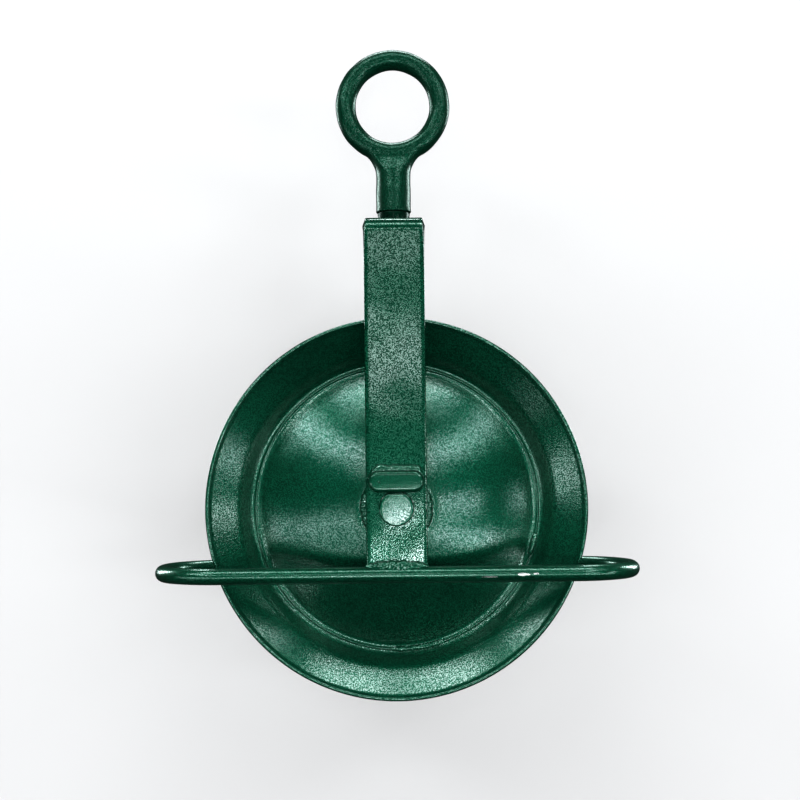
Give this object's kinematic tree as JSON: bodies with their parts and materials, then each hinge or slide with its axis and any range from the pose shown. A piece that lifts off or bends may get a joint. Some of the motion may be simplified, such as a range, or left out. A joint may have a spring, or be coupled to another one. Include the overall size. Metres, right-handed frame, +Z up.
{
  "type": "gin wheel pulley",
  "caption": "Rope pulley wheel in a bent strap under a swivel hanging ring, with a long rod loop round the wheel as a rope guard.",
  "frame": {"origin": "middle of the hanging ring's hole", "axes": "+Z up along the spigot, +Y along the wheel's axle towards the back, the ring and the wheel lie in the XZ plane"},
  "size_m": [0.329, 0.0948, 0.443],
  "materials": {
    "green_paint": "glossy with a fine orange peel",
    "bright_steel": "bright",
    "bush_metal": "satin"
  },
  "bodies": {
    "eye": {"swivel_eye": "green_paint", "spigot_nut": "bright_steel", "nut_pin": "bright_steel"},
    "frame": {"thrust_collar": "green_paint", "spigot_washer": "bright_steel", "frame_strap": "green_paint", "guard_loop": "green_paint", "front_foot_weld": "green_paint", "rear_foot_weld": "green_paint", "axle_pin": "green_paint", "front_keeper": "green_paint", "rear_keeper": "green_paint", "front_keeper_weld": "green_paint", "rear_keeper_weld": "green_paint", "front_axle_washer": "bright_steel", "rear_axle_washer": "bright_steel"},
    "sheave": {"front_disc": "green_paint", "rear_disc": "green_paint", "hub_tube": "green_paint", "hub_bush": "bush_metal", "front_hub_weld": "green_paint", "rear_hub_weld": "green_paint", "valley_weld_low": "green_paint", "valley_weld_side": "green_paint"}
  },
  "joints": [
    {"name": "eye_swivel", "type": "hinge", "parent": "eye", "child": "frame", "pos_m": [0, 0, -0.0865], "axis": [0, 0, 1], "continuous": true},
    {"name": "sheave_spin", "type": "hinge", "parent": "frame", "child": "sheave", "pos_m": [0, 0, -0.2765], "axis": [0, 1, 0], "continuous": true}
  ]
}
